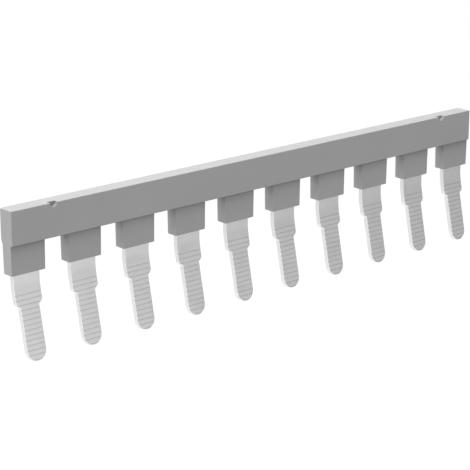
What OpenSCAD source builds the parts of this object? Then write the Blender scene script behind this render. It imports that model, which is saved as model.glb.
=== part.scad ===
// Plug-in jumper for a row of rail-mounted terminal blocks. A moulded insulating bar with one tooth per terminal
// holds a stamped contact comb, whose grooved prongs reach down into the blocks' jumper slots.
// Millimetres. The origin is in the middle of the row, level with the teeth's undersides and in the middle of the
// comb's sheet. X runs along the bar, the front faces -Y and the prongs point down.

/* [Row] */
// Number of terminals that the jumper joins
ways = 10; // [2:1:20]
// Distance from one prong to the next
pitch = 6.2; // [5:0.1:12]

/* [Bar] */
// Height of the bar above its teeth
bar_height = 3.2; // [2.8:0.1:5]
// Thickness of the bar from front to rear
bar_thickness = 1.7; // [1.5:0.05:3]
// Radius on the bar's outer edges
bar_edge = 0.05; // [0.02:0.01:0.2]
// Height of the slope that leads from the bar's rear face in to the teeth
rear_slope = 0.4; // [0.2:0.1:1]

/* [Teeth] */
// Width of a tooth where it leaves the bar
tooth_width = 3.65; // [3.2:0.05:4.5]
// Height of a tooth below the bar
tooth_height = 2.8; // [1.5:0.1:5]
// Step from the bar's front face back to a tooth
front_step = 0.25; // [0.15:0.05:0.4]
// Step from the bar's rear face in to a tooth
rear_step = 0.2; // [0.1:0.05:0.3]
// Draft on every side of a tooth, in degrees
tooth_draft = 0.5; // [0:0.1:1]
// Chamfer round a tooth's underside
tooth_chamfer = 0.03; // [0.02:0.01:0.15]

/* [Notches] */
// Radius of the half-round notches in the bar's front top edge
notch_radius = 0.42; // [0.3:0.02:0.6]
// Depth of a notch behind the front face
notch_depth = 0.45; // [0.2:0.05:0.55]
// Distance from an end prong's axis in to the notch beside it
notch_inset = 2.7; // [1:0.1:3]

/* [Comb] */
// Thickness of the sheet that the comb is stamped from
sheet = 0.5; // [0.3:0.05:0.7]
// Height of the spine that joins the prongs inside the bar
spine_height = 1.8; // [1.2:0.1:2]
// Plastic left above the spine
spine_cover = 0.7; // [0.6:0.05:0.8]
// Width of a prong's root
root_width = 2.8; // [2.4:0.1:3]
// Gap between the moulded plastic and the comb
mould_gap = 0.02; // [0.01:0.01:0.05]

/* [Prongs] */
// How far a prong reaches below the teeth
prong_reach = 8; // [6:0.1:12]
// Forward lean of a prong below its bend, in degrees
prong_lean = 12; // [4:1:20]
// Drop from a tooth's underside to the corner that the bend rounds
bend_drop = 1.25; // [1:0.05:2]
// Inside radius of the bend
bend_radius = 4; // [1:0.5:5]
// Width of a prong's blade
blade_width = 2; // [1.6:0.1:2.2]
// Distance along the blade from the bend's corner to the shoulder
shoulder_at = 1.4; // [1:0.1:2]
// Radius of the fillet where a shoulder meets the blade
shoulder_fillet = 0.2; // [0.05:0.05:0.4]

/* [Grooves] */
// Distance from one cross groove to the next
groove_pitch = 0.46; // [0.36:0.02:0.8]
// Distance along the blade from the bend's corner to the first groove
groove_start = 0.76; // [0.7:0.02:2]
// Least distance from the last groove to the tip
groove_margin = 0.14; // [0.1:0.02:1.5]
// Width of a groove at the blade's face
groove_width = 0.12; // [0.08:0.02:0.24]
// Depth of a groove
groove_depth = 0.06; // [0.02:0.01:0.1]

/* [Hidden] */
$fn = 48;
// Plastic, comb and cutting sizes that follow from the values above
row_length = (ways - 1) * pitch;
bar_length = row_length + tooth_width;
bar_top = tooth_height + bar_height;
tooth_thickness = bar_thickness - front_step - rear_step;
bar_front = -tooth_thickness / 2 - front_step;
bar_rear = tooth_thickness / 2 + rear_step;
tooth_taper = tooth_height * tan(tooth_draft);
spine_top = bar_top - spine_cover;
root_top = spine_top - spine_height / 2;
bend_tangent = (bend_radius + sheet / 2) * tan(prong_lean / 2);
bend_start = -bend_drop + bend_tangent;
// Flats that stand for each face of the bend
bend_steps = 6;
blade_length = (prong_reach - bend_drop) / cos(prong_lean);
groove_count = floor((blade_length - groove_start - groove_margin) / groove_pitch) + 1;
shoulder_radius = (root_width - blade_width) / 2;
// Distance along the blade at which a shoulder's fillet runs out
fillet_end = shoulder_at + sqrt(pow(shoulder_radius + shoulder_fillet, 2) - pow(shoulder_fillet, 2));
// Reach of a cut that has to pass right through
through = 2 * (bar_top + prong_reach);

// X of each prong's axis
prong_axes = [for (i = [0 : ways - 1]) i * pitch - row_length / 2];

// Stands a drawing with axes (Y, Z) up and carries it along X, the same way to both sides
module along_x(length) {
    rotate([90, 0, 90])
        linear_extrude(length, center = true)
            children();
}

// Stands a drawing with axes (X, Z) up and carries it along Y, the same way to both sides
module along_y(length) {
    rotate([90, 0, 0])
        linear_extrude(length, center = true)
            children();
}

// Rectangle between two corners with all its corners rounded
module rounded_rectangle(low, high, r) {
    translate([low.x + r, low.y])
        square([high.x - low.x - 2 * r, high.y - low.y]);
    translate([low.x, low.y + r])
        square([high.x - low.x, high.y - low.y - 2 * r]);
    for (x = [low.x + r, high.x - r], y = [low.y + r, high.y - r])
        translate([x, y])
            circle(r);
}

// Tooth seen from one side: it tapers downwards and has a chamfer at each lower corner
module tooth_outline(top_width) {
    top = top_width / 2;
    bottom = top - tooth_taper;
    polygon([
        [-top, tooth_height],
        [-bottom, tooth_chamfer],
        [-bottom + tooth_chamfer, 0],
        [bottom - tooth_chamfer, 0],
        [bottom, tooth_chamfer],
        [top, tooth_height]
    ]);
}

// Bar and teeth seen from the front
module housing_elevation() {
    half = bar_length / 2;
    rounded_rectangle([-half, tooth_height], [half, bar_top], bar_edge);
    translate([-half, tooth_height])
        square([bar_length, bar_height / 2]);
    for (x = prong_axes)
        translate([x, 0])
            tooth_outline(tooth_width);
}

// Bar and tooth cut across: the front overhangs the tooth, and the rear slopes in to it
module housing_section() {
    difference() {
        rounded_rectangle([bar_front, tooth_height], [bar_rear, bar_top], bar_edge);
        polygon([
            [bar_rear, tooth_height + rear_slope],
            [bar_rear - rear_step, tooth_height],
            [bar_rear - rear_step, tooth_height - bar_edge],
            [bar_rear + bar_edge, tooth_height - bar_edge],
            [bar_rear + bar_edge, tooth_height + rear_slope]
        ]);
    }
    tooth_outline(tooth_thickness);
}

// Bar seen from above
module housing_plan() {
    half = bar_length / 2;
    rounded_rectangle([-half, bar_front], [half, bar_rear], bar_edge);
}

// Spine and roots of the comb, grown on every side by the gap around them and carried out below the teeth
module comb_seat(gap) {
    spine_length = row_length + root_width + 2 * gap;
    translate([-spine_length / 2, -sheet / 2 - gap, spine_top - spine_height - gap])
        cube([spine_length, sheet + 2 * gap, spine_height + 2 * gap]);
    for (x = prong_axes)
        translate([x - root_width / 2 - gap, -sheet / 2 - gap, -tooth_height])
            cube([root_width + 2 * gap, sheet + 2 * gap, tooth_height + root_top]);
}

// Half-round notch in the front top edge
module notch() {
    translate([0, bar_front + notch_depth, bar_top])
        rotate([90, 0, 0])
            cylinder(h = bar_thickness, r = notch_radius);
}

// Point in (Y, Z) at a depth across the sheet and a distance along the blade from the bend's corner
function on_blade(across, along) = [
    across * cos(prong_lean) - along * sin(prong_lean),
    -bend_drop - across * sin(prong_lean) - along * cos(prong_lean)
];

// One face of the bend, from the root down to the blade
function bend_face(radius) = [
    for (i = [0 : bend_steps])
        let (turn = prong_lean * i / bend_steps)
            [-sheet / 2 - bend_radius + radius * cos(turn), bend_start - radius * sin(turn)]
];

// One face of the blade, rear (1) or front (-1), from the bend down, with a V across it at every groove
function blade_face(side) = [
    for (i = [0 : groove_count - 1], corner = [[-1, 0], [0, 1], [1, 0]])
        on_blade(
            side * (sheet / 2 - corner.y * groove_depth),
            groove_start + i * groove_pitch + corner.x * groove_width / 2
        )
];

function reversed(points) = [for (i = [len(points) - 1 : -1 : 0]) points[i]];

// Prong cut lengthways, in (Y, Z): upright root, bend, and leaning blade with grooves on both faces
module prong_section() {
    half = sheet / 2;
    polygon(concat(
        [[half, root_top]],
        bend_face(bend_radius + sheet),
        blade_face(1),
        [on_blade(half, blade_length), on_blade(-half, blade_length)],
        reversed(blade_face(-1)),
        reversed(bend_face(bend_radius)),
        [[-half, root_top]]
    ));
}

// Right-hand shoulder, rounded outside and filleted where it meets the blade
module shoulder() {
    translate([blade_width / 2, -shoulder_at])
        circle(shoulder_radius);
    difference() {
        polygon([
            [blade_width / 2, -shoulder_at],
            [blade_width / 2, -fillet_end],
            [blade_width / 2 + shoulder_fillet, -fillet_end]
        ]);
        translate([blade_width / 2 + shoulder_fillet, -fillet_end])
            circle(shoulder_fillet);
    }
}

// Prong seen square to its blade: root, shoulders and round tip, drawn downwards from the bend's corner
module prong_outline() {
    tip_radius = blade_width / 2;
    translate([-root_width / 2, -shoulder_at])
        square([root_width, shoulder_at + bend_drop + bar_top]);
    shoulder();
    mirror([1, 0])
        shoulder();
    translate([-tip_radius, -blade_length + tip_radius])
        square([blade_width, blade_length - tip_radius]);
    translate([0, -blade_length + tip_radius])
        circle(tip_radius);
}

// One prong with its root
module prong() {
    intersection() {
        along_x(2 * root_width)
            prong_section();
        translate([0, 0, -bend_drop])
            rotate([-prong_lean, 0, 0])
                along_y(through)
                    prong_outline();
    }
}

// Moulded bar with its teeth, closed round the comb
module housing() {
    color("#a6a6a6")
        difference() {
            intersection() {
                along_y(2 * bar_thickness)
                    housing_elevation();
                along_x(2 * bar_length)
                    housing_section();
                linear_extrude(through, center = true)
                    housing_plan();
            }
            comb_seat(mould_gap);
            for (side = [-1, 1])
                translate([side * (row_length / 2 - notch_inset), 0, 0])
                    notch();
        }
}

// Stamped comb: a spine that joins all the prongs
module contact_comb() {
    spine_length = row_length + root_width;
    color("#c9c9c6")
        union() {
            translate([-spine_length / 2, -sheet / 2, spine_top - spine_height])
                cube([spine_length, sheet, spine_height]);
            for (x = prong_axes)
                translate([x, 0, 0])
                    prong();
        }
}

housing();
contact_comb();
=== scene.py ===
# %% [markdown]
# A plug-in jumper for rail terminal blocks: a moulded grey bar with ten teeth, and a stamped metal comb whose
# ten grooved prongs stand out below them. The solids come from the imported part, already in place and in
# metres, so this script only has to finish what the eye sees: soft edges, moulded plastic, plated metal,
# light and the view.

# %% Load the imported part
import math

import bmesh
import bpy
import numpy as np
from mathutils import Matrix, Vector


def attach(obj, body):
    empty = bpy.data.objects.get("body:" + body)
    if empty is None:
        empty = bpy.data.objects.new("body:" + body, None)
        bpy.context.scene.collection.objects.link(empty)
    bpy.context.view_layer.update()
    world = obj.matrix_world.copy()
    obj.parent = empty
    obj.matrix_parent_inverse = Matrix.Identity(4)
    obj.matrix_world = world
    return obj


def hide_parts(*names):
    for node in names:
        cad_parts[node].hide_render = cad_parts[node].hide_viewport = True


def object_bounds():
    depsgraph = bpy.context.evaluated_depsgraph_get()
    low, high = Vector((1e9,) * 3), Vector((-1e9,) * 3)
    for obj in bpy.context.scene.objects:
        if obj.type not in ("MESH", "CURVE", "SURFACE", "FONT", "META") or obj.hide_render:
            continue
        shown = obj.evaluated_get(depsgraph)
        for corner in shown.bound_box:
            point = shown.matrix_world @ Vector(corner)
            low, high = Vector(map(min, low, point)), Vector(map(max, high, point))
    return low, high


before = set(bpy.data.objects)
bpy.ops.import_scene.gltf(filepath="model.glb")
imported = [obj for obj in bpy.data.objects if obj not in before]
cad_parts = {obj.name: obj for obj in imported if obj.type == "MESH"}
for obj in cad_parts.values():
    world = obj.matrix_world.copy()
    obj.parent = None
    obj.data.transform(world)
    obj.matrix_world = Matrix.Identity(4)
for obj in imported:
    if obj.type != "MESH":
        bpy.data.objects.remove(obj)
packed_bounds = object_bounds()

MM = 0.001
scene = bpy.context.scene
scene.view_settings.view_transform = "Standard"
size = packed_bounds[1] - packed_bounds[0]
print("nodes:", sorted(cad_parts), "size in mm:", [round(side / MM, 2) for side in size])

# %% [markdown]
# The picture is taken with a long lens from the front left and a little above, so the row runs away to the
# right and hardly shrinks. A camera can be turned by hand until it fits, but a direction and a distance from
# the point in the middle of the picture are easier to read and to change. Two helpers come with it: the
# lamps and the pieces are linked to the scene in the same way, and the lamps are aimed in the same way.

# %% Camera
TURN_LEFT = math.radians(41.42)
RAISED = math.radians(16.86)
DISTANCE = 172.2 * MM
LOOK_AT = Vector((-3.18, -0.015, -1.604)) * MM
LENS, SENSOR = 135.5, 36
NEAREST, FARTHEST = 10 * MM, 10


def put(name, data):
    """Makes an object from a mesh, a lamp or a camera and links it to the scene."""
    made = bpy.data.objects.new(name, data)
    scene.collection.objects.link(made)
    return made


def aim(thing, direction):
    """Turns a camera or a lamp, which both look along their own -Z, so that it looks in a direction."""
    thing.rotation_mode = "QUATERNION"
    thing.rotation_quaternion = direction.to_track_quat("-Z", "Y")


towards = Vector((
    math.sin(TURN_LEFT) * math.cos(RAISED),
    math.cos(TURN_LEFT) * math.cos(RAISED),
    -math.sin(RAISED),
))
camera = put("camera", bpy.data.cameras.new("camera"))
camera.data.sensor_width = SENSOR
camera.data.lens = LENS
camera.data.clip_start = NEAREST
camera.data.clip_end = FARTHEST
camera.location = LOOK_AT - towards * DISTANCE
aim(camera, towards)
scene.camera = camera
print("camera at, in mm:", [round(c / MM, 2) for c in camera.location])

# %% [markdown]
# A few small helpers serve every material. Colours are written the way a picture editor shows them, as sRGB
# hex values, while Blender's shaders count light, so each value is turned to linear first. A material is a
# graph of nodes, and one function that adds a node with its settings and its links keeps a graph readable
# from top to bottom.

# %% Helpers for colours and shader nodes
def linear(hex_colour):
    """Linear RGBA of an sRGB hex colour: each channel up to 0.04045 is divided by 12.92, and above that it is
    raised to the power 2.4 after 0.055 is added and the sum divided by 1.055."""
    srgb = [int(hex_colour[i:i + 2], 16) / 255 for i in (1, 3, 5)]
    return [s / 12.92 if s <= 0.04045 else ((s + 0.055) / 1.055) ** 2.4 for s in srgb] + [1.0]


def add(tree, kind, inputs=None, **settings):
    """Adds one node. Settings are the node's own, and inputs gives each socket a value or another node's
    output."""
    node = tree.nodes.new(kind)
    for name, value in settings.items():
        setattr(node, name, value)
    for socket, value in (inputs or {}).items():
        if isinstance(value, bpy.types.NodeSocket):
            tree.links.new(value, node.inputs[socket])
        else:
            node.inputs[socket].default_value = value
    return node


def new_material(name):
    """An empty material with its node tree and an output node."""
    material = bpy.data.materials.new(name)
    material.use_nodes = True
    material.node_tree.nodes.clear()
    return material, material.node_tree, material.node_tree.nodes.new("ShaderNodeOutputMaterial")


print("mid grey #808080 in linear:", round(linear("#808080")[0], 4))

# %% [markdown]
# The bar is injection-moulded polyamide. Its mould was spark-eroded, which leaves a fine matt grain of about
# a tenth of a millimetre, and the grey varies a little where the melt flowed. The notches and inner corners
# get painted shade, a darker grey. A picture of a surface could be wrapped round the bar, but
# noise in the object's own coordinates has no seams and keeps its true size on every face.

# %% Moulded grey polyamide
GRAIN, GRAIN_HEIGHT = 0.12 * MM, 0.02 * MM
FLOW = 6 * MM
NOOK = 1.4 * MM

polyamide, tree, out = new_material("moulded grey polyamide")
place = add(tree, "ShaderNodeTexCoord").outputs["Object"]
# Slow, faint clouding left by the flow of the melt
cloud = add(tree, "ShaderNodeTexNoise", {"Vector": place, "Scale": 1 / FLOW, "Detail": 3.0}).outputs["Fac"]
tone = add(tree, "ShaderNodeMix", {
    "Factor": cloud, "A": linear("#A5A5A5"), "B": linear("#ADADAD"),
}, data_type="RGBA")
# Painted shade in nooks: open faces keep the tone, and a spot that is closed in all round goes to the dark
# grey
painted_nook_shade = add(tree, "ShaderNodeAmbientOcclusion", {"Distance": NOOK}, samples=8, only_local=True).outputs["AO"]
tone = add(tree, "ShaderNodeMix", {
    "Factor": painted_nook_shade, "A": linear("#6A6A6A"), "B": tone.outputs["Result"],
}, data_type="RGBA")
# Spark-eroded grain, which dulls the reflection and breaks it up
grain = add(tree, "ShaderNodeTexNoise", {"Vector": place, "Scale": 1 / GRAIN, "Detail": 2.0}).outputs["Fac"]
dull = add(tree, "ShaderNodeMapRange", {"Value": grain, "To Min": 0.52, "To Max": 0.66}).outputs["Result"]
relief = add(tree, "ShaderNodeBump", {"Height": grain, "Strength": 0.4, "Distance": GRAIN_HEIGHT})
skin = add(tree, "ShaderNodeBsdfPrincipled", {
    "Base Color": tone.outputs["Result"],
    "Roughness": dull,
    "IOR": 1.53,
    "Normal": relief.outputs["Normal"],
})
tree.links.new(skin.outputs["BSDF"], out.inputs["Surface"])
print(polyamide.name, "with", len(tree.nodes), "nodes")

# %% [markdown]
# The comb is stamped from rolled copper strip and plated with tin, which gives a pale, slightly cloudy metal.
# Rolling leaves fine lines along the strip, and the plating softens them. Stretching noise along the blade
# draws such lines without an image, and the same noise moves the roughness, so the lines show in the
# reflection and not as paint. The bottoms of the stamped grooves get painted shade, a darker grey. Noise
# can't know where a groove is, so the piece will carry that with it.

# %% Matt tin plating on stamped copper
LINE, LINE_HEIGHT = 0.09 * MM, 0.006 * MM
# Lines keep their width in x and are drawn out a little in y and most in z, down the prong
LINE_STRETCH = (1.0, 0.3, 0.04)
CLOUD = 1.5 * MM

tin, tree, out = new_material("matt tin plating on copper")
place = add(tree, "ShaderNodeTexCoord").outputs["Object"]
strip = add(tree, "ShaderNodeMapping", {"Vector": place, "Scale": LINE_STRETCH}).outputs["Vector"]
# Rolling lines a few hundredths wide in truth, drawn coarser so that they show
lines = add(tree, "ShaderNodeTexNoise", {"Vector": strip, "Scale": 1 / LINE, "Detail": 2.0}).outputs["Fac"]
# Cloudy bloom of a matt tin bath
bloom = add(tree, "ShaderNodeTexNoise", {"Vector": place, "Scale": 1 / CLOUD, "Detail": 4.0}).outputs["Fac"]
tone = add(tree, "ShaderNodeMix", {
    "Factor": bloom, "A": linear("#E8E8E8"), "B": linear("#EEEEEE"),
}, data_type="RGBA")
# Painted shade: darker grey at the bottoms of the grooves
depth = add(tree, "ShaderNodeAttribute", attribute_name="groove_depth").outputs["Fac"]
tone = add(tree, "ShaderNodeMix", {
    "Factor": depth, "A": tone.outputs["Result"], "B": linear("#D1D1D1"),
}, data_type="RGBA")
sheen = add(tree, "ShaderNodeMix", {"Factor": 0.5, "A": lines, "B": bloom}).outputs["Result"]
dull = add(tree, "ShaderNodeMapRange", {"Value": sheen, "To Min": 0.34, "To Max": 0.56}).outputs["Result"]
relief = add(tree, "ShaderNodeBump", {"Height": lines, "Strength": 0.3, "Distance": LINE_HEIGHT})
plate = add(tree, "ShaderNodeBsdfPrincipled", {
    "Base Color": tone.outputs["Result"],
    "Metallic": 1.0,
    "Roughness": dull,
    "Normal": relief.outputs["Normal"],
})
tree.links.new(plate.outputs["BSDF"], out.inputs["Surface"])
print(tin.name, "with", len(tree.nodes), "nodes")

# %% [markdown]
# Ten prongs hang from the comb's spine. Each is a flat strip that leaves its tooth upright, bends forward
# through twelve degrees, steps in at two rounded shoulders, carries fourteen cross grooves on both faces and
# ends in a round tip. The solid has these with knife-sharp edges. A stamped and plated strip has soft ones,
# so the prong is made again as a surface: a rounded section carried along the strip's middle line, its width
# and thickness given by formulas. Its sizes are in millimetres until the points go into a mesh.

# %% Line that a prong follows
SHEET = 0.5
ROOT_HALF, BLADE_HALF = 1.4, 1.0
SPINE_LOW, SPINE_HIGH = 3.5, 5.3
REACH, CORNER_DROP = 8.0, 1.25
LEAN, MIDDLE_RADIUS = math.radians(12), 4.25
BEND = MIDDLE_RADIUS * math.tan(LEAN / 2)
BLADE_END = (REACH - CORNER_DROP) / math.cos(LEAN)


def middle_line(along):
    """Points (y, z) and rearward normals of the strip's middle line. Along is measured from the corner where
    upright and blade would meet: the line is upright before the bend and leans forward after it, and between
    the two it is an arc whose turn grows evenly from nothing to the full lean."""
    turn = np.clip((along + BEND) / (2 * BEND), 0, 1) * LEAN
    bend_top = -CORNER_DROP + BEND
    y = -MIDDLE_RADIUS + MIDDLE_RADIUS * np.cos(turn)
    z = bend_top - MIDDLE_RADIUS * np.sin(turn)
    before, after = np.minimum(along + BEND, 0), np.maximum(along - BEND, 0)
    y = y - after * np.sin(turn)
    z = z - before - after * np.cos(turn)
    return np.stack([y, z], -1), np.stack([np.cos(turn), -np.sin(turn)], -1)


tip, _ = middle_line(np.array([BLADE_END]))
print("a prong's tip lies at y, z in mm:", tip.round(3).tolist())

# %% [markdown]
# Seen square to its face, a prong is a wide root and a narrower blade. Curves could be drawn and filled for
# that, but a half width written as a function of the distance along the strip can also be drawn in by an
# inset, which the rounded edges will need. The grooves are a second function of the same distance. Stamping
# and plating leave them as soft waves, wider and shallower than the V cuts of the solid.

# %% Width and grooves along a prong
SHOULDER, SHOULDER_ROUND, FILLET = 1.4, 0.4, 0.2
FILLET_END = SHOULDER + math.sqrt((SHOULDER_ROUND + FILLET) ** 2 - FILLET ** 2)
GROOVE_START, GROOVE_PITCH, GROOVE_COUNT = 0.76, 0.46, 14
GROOVE_HALF, GROOVE_DEPTH = 0.12, 0.025
GROOVES = GROOVE_START + GROOVE_PITCH * np.arange(GROOVE_COUNT)


def half_width(along, inset):
    """Half the strip's width after its outline is drawn in by an inset: the full root down to the shoulder,
    then the shoulder's arc with the inset taken off its radius, the fillet's arc with the inset added, the
    straight blade, and the tip's half-circle less the inset, which gives nothing past its end."""
    shoulder, fillet, tip_round = SHOULDER_ROUND - inset, FILLET + inset, BLADE_HALF - inset
    meet = SHOULDER + shoulder * (FILLET_END - SHOULDER) / (SHOULDER_ROUND + FILLET)
    on_shoulder = BLADE_HALF + np.sqrt(np.maximum(shoulder ** 2 - (along - SHOULDER) ** 2, 0))
    on_fillet = BLADE_HALF + FILLET - np.sqrt(np.maximum(fillet ** 2 - (FILLET_END - along) ** 2, 0))
    on_tip = np.sqrt(np.maximum(tip_round ** 2 - (along - BLADE_END + BLADE_HALF) ** 2, 0))
    steps = [along <= SHOULDER, along <= meet, along <= FILLET_END, along <= BLADE_END - BLADE_HALF]
    return np.select(steps, [ROOT_HALF - inset, on_shoulder, on_fillet, BLADE_HALF - inset], on_tip)


def groove_wave(along):
    """One raised-cosine wave at every groove: 1 at its bottom and 0 from its edges on."""
    away = np.abs(along[:, None] - GROOVES).min(1)
    return 0.5 + 0.5 * np.cos(np.pi * np.minimum(away / GROOVE_HALF, 1))


print("width at root and blade in mm:", 2 * half_width(np.array([0.0, 4.0]), 0.0))

# %% [markdown]
# A grid of points turns these formulas into a surface: one direction runs down the strip, the other round its
# section. Rows are packed closely only where something changes, in the bend, the shoulders, the grooves and
# the tip.

# %% Surface of one prong
EDGE = 0.03
ARC_STEPS = 3
ROOT_IN_SPINE = 0.04
BEND_ROWS, GROOVE_ROWS, SHOULDER_ROWS, TIP_ROWS = 9, 9, 15, 25


def prong_surface():
    """Grid of points of one prong about x = 0, row by row from the spine to the tip, and how deep in a groove
    each lies. Each of the section's four corners is a quarter-circle: an angle from the face to the side
    gives a depth below the face of EDGE times (1 - cosine) and an inset of EDGE times (1 - sine). Near the
    tip the angle starts later, where the inset still leaves some width."""
    along = np.unique(np.concatenate([
        [-CORNER_DROP - SPINE_LOW - ROOT_IN_SPINE],
        np.linspace(-BEND, BEND, BEND_ROWS),
        (GROOVES[:, None] + GROOVE_HALF * np.linspace(-1, 1, GROOVE_ROWS)).ravel(),
        np.linspace(SHOULDER, FILLET_END, SHOULDER_ROWS),
        BLADE_END - BLADE_HALF + BLADE_HALF * np.sin(np.linspace(0, np.pi / 2, TIP_ROWS)),
    ]).round(6))
    along[-1] = BLADE_END
    room = np.clip((BLADE_END - along) / EDGE, 0, 1)
    first = np.arcsin(1 - room)
    angle = first[:, None] + (np.pi / 2 - first)[:, None] * np.linspace(0, 1, ARC_STEPS + 1)
    across = half_width(along[:, None], EDGE * (1 - np.sin(angle)))
    wave = groove_wave(along)[:, None]
    thick = SHEET / 2 - GROOVE_DEPTH * wave - EDGE * (1 - np.cos(angle))
    x = np.concatenate([across, across[:, ::-1], -across, -across[:, ::-1]], 1)
    n = np.concatenate([-thick, thick[:, ::-1], thick, -thick[:, ::-1]], 1)
    middle, normal = middle_line(along)
    yz = middle[:, None] + n[..., None] * normal[:, None]
    dip = wave * np.cos(angle)
    dip = np.concatenate([dip, dip[:, ::-1], dip, dip[:, ::-1]], 1)
    return np.concatenate([x[..., None], yz], -1), dip


prong, dip = prong_surface()
print("one prong: rows and points round the section:", prong.shape[:2])

# %% [markdown]
# Inside the bar a flat spine joins the ten prongs. It never shows, but without it the comb would be ten loose
# strips. It is a rounded rectangle carried straight from one end of the row to the other, and the prongs'
# roots start inside it.

# %% Surface of the spine
PITCH, WAYS = 6.2, 10


def spine_surface():
    """Two rings of a rounded rectangle, one at each end of the row: corners are quarter-circles of radius
    EDGE."""
    angle = np.linspace(0, np.pi / 2, ARC_STEPS + 1)
    y = SHEET / 2 - EDGE * (1 - np.sin(angle))
    z = (SPINE_HIGH - SPINE_LOW) / 2 - EDGE * (1 - np.cos(angle))
    ring_y = np.concatenate([y, y[::-1], -y, -y[::-1]])
    ring_z = np.concatenate([z, -z[::-1], -z, z[::-1]]) + (SPINE_LOW + SPINE_HIGH) / 2
    end = (WAYS - 1) * PITCH / 2 + ROOT_HALF
    return np.stack([np.column_stack([np.full(ring_y.size, x), ring_y, ring_z]) for x in (-end, end)])


spine = spine_surface()
print("spine's length and height in mm:", np.ptp(spine, (0, 1)).round(3)[[0, 2]])

# %% [markdown]
# The one prong is moved to ten places along the row and put into a single mesh with the spine. Ten linked
# objects would be quicker to make, but the comb is one stamping and should stay one piece. Each point also
# takes along how deep in a groove it lies, which is what the painted shade in the grooves asks for.

# %% Comb from ten prongs and a spine
def grid_faces(rows, ring):
    """Quads of a tube: each point with its neighbour round the ring and with the two below them."""
    here = np.arange(rows - 1)[:, None] * ring + np.arange(ring)
    beside = np.arange(rows - 1)[:, None] * ring + (np.arange(ring) + 1) % ring
    return np.stack([here, here + ring, beside + ring, beside], -1).reshape(-1, 4)


rows, ring = prong.shape[:2]
axes = (np.arange(WAYS) - (WAYS - 1) / 2) * PITCH
prongs = prong[None] + np.stack([axes, 0 * axes, 0 * axes], -1)[:, None, None]
points = np.concatenate([prongs.reshape(-1, 3), spine.reshape(-1, 3)]) * MM
starts, spine_start = np.arange(WAYS) * rows * ring, WAYS * rows * ring
faces = (grid_faces(rows, ring)[None] + starts[:, None, None]).reshape(-1, 4).tolist()
faces += (grid_faces(2, ring) + spine_start).tolist()
# Lids on the roots' upper ends and on the spine's two ends
faces += (starts[:, None] + np.arange(ring)).tolist()
faces += (spine_start + np.stack([np.arange(ring), np.arange(2 * ring - 1, ring - 1, -1)])).tolist()
comb_mesh = bpy.data.meshes.new("stamped comb")
comb_mesh.from_pydata(points.tolist(), [], faces)
depth = comb_mesh.attributes.new("groove_depth", "FLOAT", "POINT")
depth.data.foreach_set("value", np.concatenate([np.tile(dip.ravel(), WAYS), np.zeros(2 * ring)]))
print("comb before merging:", len(points), "points and", len(faces), "faces")

# %% [markdown]
# A rounded edge looks round only if the shading runs smoothly over it, and a flat face beside it looks flat
# only if its corners point straight out. A Weighted Normal modifier does this for parts of everyday size, but
# the faces here are so small, counted in square metres, that its sums come out wrong. The same mean is worked
# out in numpy instead. The comb and the bar are both finished with it.

# %% Helpers for soft edges and finished pieces
def settle_normals(mesh, limit):
    """Gives each face corner the mean direction of the faces that meet at its point and lie within the limit
    of its own face, weighed by their areas: a narrow rounded edge is shaded smoothly, and the large face
    beside it stays flat."""
    point, area = np.empty(len(mesh.loops), int), np.empty(len(mesh.polygons))
    sides, direction = np.empty(len(mesh.polygons), int), np.empty((len(mesh.polygons), 3))
    mesh.loops.foreach_get("vertex_index", point)
    mesh.polygons.foreach_get("area", area)
    mesh.polygons.foreach_get("loop_total", sides)
    mesh.polygons.foreach_get("normal", direction.ravel())
    face = np.repeat(np.arange(sides.size), sides)
    # Table of the faces round each point, filled up with a last face of no area
    order = np.argsort(point, kind="stable")
    place = np.arange(point.size) - np.searchsorted(point[order], point[order])
    table = np.full((len(mesh.vertices), place.max() + 1), sides.size)
    table[point[order], place] = face[order]
    direction, area = np.vstack([direction, np.zeros(3)]), np.append(area, 0.0)
    near = table[point]
    alike = (direction[near] * direction[face][:, None]).sum(-1) > math.cos(limit)
    total = ((area[near] * alike)[..., None] * direction[near]).sum(1)
    mesh.shade_smooth()
    mesh.normals_split_custom_set((total / np.linalg.norm(total, axis=1, keepdims=True)).tolist())


def finish_piece(name, work, mesh, limit, material):
    """Writes the worked copy back into its mesh, settles the normals and makes an object with a material."""
    print(name, "has", sum(not edge.is_manifold for edge in work.edges), "open edges")
    print(name, "has a volume of", round(work.calc_volume() / MM ** 3, 2), "mm3")
    work.to_mesh(mesh)
    work.free()
    settle_normals(mesh, limit)
    mesh.materials.clear()
    mesh.materials.append(material)
    print(name, "has", len(mesh.vertices), "points and", len(mesh.polygons), "faces")
    return put(name, mesh)


# %% [markdown]
# The comb is closed and dressed. Its grids end in rows of equal points at the tips, so points that coincide
# are merged, which closes every tip, and faces that lost their area go. Its rounded edges turn in steps of
# thirty degrees, so faces within twice that are shaded as one.

# %% Finished comb
COINCIDE = 1e-5 * MM
COMB_SMOOTH = math.radians(60)

work = bmesh.new()
work.from_mesh(comb_mesh)
bmesh.ops.remove_doubles(work, verts=work.verts, dist=COINCIDE)
bmesh.ops.dissolve_degenerate(work, edges=work.edges, dist=COINCIDE)
bmesh.ops.recalc_face_normals(work, faces=work.faces)
comb = finish_piece("stamped_comb", work, comb_mesh, COMB_SMOOTH, tin)
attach(comb, "root")
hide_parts("contact_comb")

# %% [markdown]
# The bar and its teeth come out of one mould, whose edges are never quite sharp: a radius of a few hundredths
# catches the light along each of them. The solid has such a radius along the bar but none down the corners of
# the teeth. A copy of its mesh is joined up, its flat faces are made whole again, and a bevel rounds those
# corners. A Bevel modifier would pick edges by their angle alone and stumble over the tiny ones where the
# bar's radii meet, so the edges are chosen here. The bevel turns a corner in four steps of a little less
# than 24 degrees, and only faces within that are shaded as one.

# %% Moulded bar with soft edges
SOFT, SOFT_STEPS = 0.025 * MM, 4
TEETH_TOP, SLACK = 2.8 * MM, 0.001 * MM
JOIN = 1e-4 * MM
FLAT, SHARP, BAR_SMOOTH = math.radians(0.3), math.radians(50), math.radians(24)


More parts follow.
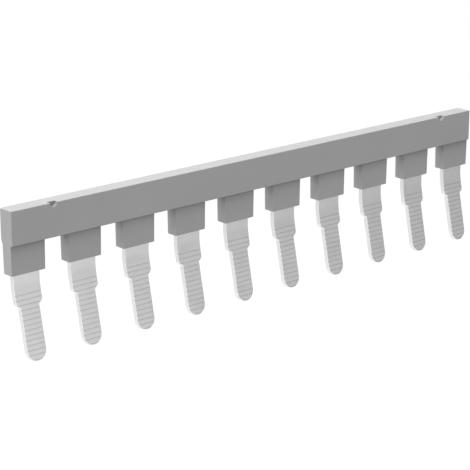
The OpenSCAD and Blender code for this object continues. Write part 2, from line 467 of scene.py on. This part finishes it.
def is_tooth_corner(edge):
    """Whether an edge is a sharp outer corner below the bar, longer than the rounding, that rises by more
    than half its length."""
    low, high = sorted(point.co.z for point in edge.verts)
    length = edge.calc_length()
    sharp = edge.is_convex and edge.calc_face_angle(0) > SHARP
    return sharp and length > SOFT and high < TEETH_TOP + SLACK and high - low > 0.5 * length


bar_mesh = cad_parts["housing"].data.copy()
bar_mesh.name = "moulded bar"
work = bmesh.new()
work.from_mesh(bar_mesh)
bmesh.ops.remove_doubles(work, verts=work.verts, dist=JOIN)
bmesh.ops.dissolve_limit(work, angle_limit=FLAT, verts=work.verts, edges=work.edges)
corners = [edge for edge in work.edges if is_tooth_corner(edge)]
print("corner edges of the teeth that are rounded:", len(corners))
bmesh.ops.bevel(
    work, geom=corners, offset=SOFT, segments=SOFT_STEPS, profile=0.5, affect="EDGES", clamp_overlap=True,
)
bar = finish_piece("moulded_bar", work, bar_mesh, BAR_SMOOTH, polyamide)
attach(bar, "root")
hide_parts("housing")

# %% [markdown]
# The jumper hangs in the air above a white floor, as a small part does in a catalogue picture. The background
# has to come out pure white without more light on the part. The floor and the world therefore answer the
# camera, mirrors and glass with white. Light that bounces meets an ordinary grey paper instead, and a share
# of plain paper stays in what the camera sees, so that the floor keeps the shadow.

# %% Floor
FLOOR_BELOW = 45 * MM
FLOOR_RADIUS = 160 * MM
FLOOR_BACK = 110 * MM
RIM_POINTS = 96
WHITE_SHARE = 0.85


def seen_directly(tree):
    """1 for a ray of the camera, of a mirror or of glass, and 0 for one that only carries light: the largest
    of the three signs that the light path gives."""
    path = add(tree, "ShaderNodeLightPath").outputs
    signs = {0: path["Is Camera Ray"], 1: path["Is Glossy Ray"]}
    either = add(tree, "ShaderNodeMath", signs, operation="MAXIMUM").outputs[0]
    signs = {0: either, 1: path["Is Transmission Ray"]}
    return add(tree, "ShaderNodeMath", signs, operation="MAXIMUM").outputs[0]


turn = np.linspace(0, 2 * np.pi, RIM_POINTS, endpoint=False)
round_x, round_y = np.cos(turn) * FLOOR_RADIUS, np.sin(turn) * FLOOR_RADIUS + FLOOR_BACK
rim = np.column_stack([round_x, round_y, np.full(turn.size, -FLOOR_BELOW)])
disc = bpy.data.meshes.new("floor")
disc.from_pydata(rim.tolist(), [], [list(range(turn.size))])
floor = put("floor", disc)

paper, tree, out = new_material("white floor paper")
seen = seen_directly(tree)
share = add(tree, "ShaderNodeMath", {0: seen, 1: WHITE_SHARE}, operation="MULTIPLY")
tint = add(tree, "ShaderNodeMix", {
    "Factor": seen, "A": linear("#909090"), "B": linear("#FFFFFF"),
}, data_type="RGBA")
plain = add(tree, "ShaderNodeBsdfDiffuse", {"Color": tint.outputs["Result"]})
white = add(tree, "ShaderNodeEmission", {"Color": linear("#FFFFFF"), "Strength": 1.0})
both = add(tree, "ShaderNodeMixShader", {0: share.outputs[0], 1: plain.outputs[0], 2: white.outputs[0]})
tree.links.new(both.outputs[0], out.inputs["Surface"])
disc.materials.append(paper)
print("floor", FLOOR_BELOW / MM, "mm below the teeth")

# %% [markdown]
# The top of the bar is the palest face, then the left end, and the front is the darkest. So the light comes
# from above: one lamp behind the part, and one only a little in front of it, which grazes the front and
# leaves a dark band under the overhang. A weak lamp on the left lifts the end and the teeth's sides. One lamp
# at the camera would be easier to place, but it would fill that band and make every face alike. Lamps that
# are large for their distance keep the shadows' edges soft.

# %% Lamps
def soft_lamp(name, at, size, power):
    """A square lamp of a size and at a place in millimetres, turned to the middle of the row."""
    lamp = put(name, bpy.data.lights.new(name, "AREA"))
    lamp.data.size = size * MM
    lamp.data.energy = power
    lamp.location = Vector(at) * MM
    aim(lamp, -lamp.location)
    return lamp


lamps = [
    soft_lamp("rear lamp", at=(-30, 140, 200), size=180, power=0.23),
    soft_lamp("high front lamp", at=(-30, -45, 240), size=100, power=0.37),
    soft_lamp("left lamp", at=(-250, 40, 20), size=160, power=0.14),
]
print("lamps and watts:", [(lamp.name, lamp.data.energy) for lamp in lamps])

# %% [markdown]
# The world fills in from all sides. A plain white one would be simplest, but a room is brighter above and
# towards its window than below and away from it, and that is what tells the faces of a moulding apart. The
# strength therefore rises evenly towards the top and the left, and only the camera, mirrors and glass see
# plain white.

# %% World
WORLD_LEVEL = 0.555
WORLD_SLOPE = Vector((-0.249, 0.0, 0.296))

world = bpy.data.worlds.new("pale room")
scene.world = world
world.use_nodes = True
tree = world.node_tree
tree.nodes.clear()
out = tree.nodes.new("ShaderNodeOutputWorld")
ray = add(tree, "ShaderNodeTexCoord").outputs["Generated"]
slope = add(tree, "ShaderNodeVectorMath", {0: ray, 1: WORLD_SLOPE}, operation="DOT_PRODUCT").outputs["Value"]
room = add(tree, "ShaderNodeMath", {0: slope, 1: WORLD_LEVEL}, operation="ADD").outputs[0]
level = add(tree, "ShaderNodeMapRange", {"Value": seen_directly(tree), "To Min": room, "To Max": 1.0})
sky = add(tree, "ShaderNodeBackground", {"Color": linear("#FFFFFF"), "Strength": level.outputs["Result"]})
tree.links.new(sky.outputs[0], out.inputs["Surface"])
above, below = WORLD_LEVEL + WORLD_SLOPE.z, WORLD_LEVEL - WORLD_SLOPE.z
print("world light from above and from below:", round(above, 3), round(below, 3))

# %% [markdown]
# Bare metal shows what stands round it, so it is shaded with cards more than with lamps. In an all-white room
# the whole comb would be equally pale. A large grey card at the front right is what the prongs' faces mirror,
# and the more so towards that end, so each prong is a little darker than the one to its left. A dark card
# behind on the left takes the cut edges down a shade, while the round tips mirror the white floor and stay
# the brightest. A darker metal could do neither, because all of it is one metal. The cards are hidden from
# the camera and from diffuse light, so the plastic keeps its tones.

# %% Cards that the metal mirrors
def stand_card(name, ends, low, high, colour):
    """An upright card between two ends (x, y) and two heights in millimetres, which only mirrors can see."""
    (x0, y0), (x1, y1) = ends
    corners = np.array([(x0, y0, low), (x1, y1, low), (x1, y1, high), (x0, y0, high)])
    mesh = bpy.data.meshes.new(name)
    mesh.from_pydata((corners * MM).tolist(), [], [[0, 1, 2, 3]])
    board, tree, out = new_material("matt " + name.replace("_", " "))
    matt = add(tree, "ShaderNodeBsdfDiffuse", {"Color": linear(colour)})
    tree.links.new(matt.outputs[0], out.inputs["Surface"])
    mesh.materials.append(board)
    card = put(name, mesh)
    card.visible_camera = card.visible_diffuse = card.visible_shadow = False
    print(name, "is", high - low, "mm high")


stand_card("grey_card", ends=[(118, -261), (330, 120)], low=-112, high=450, colour="#AEAEAE")
stand_card("dark_card", ends=[(-270, 70), (-60, 300)], low=-44, high=40, colour="#484848")
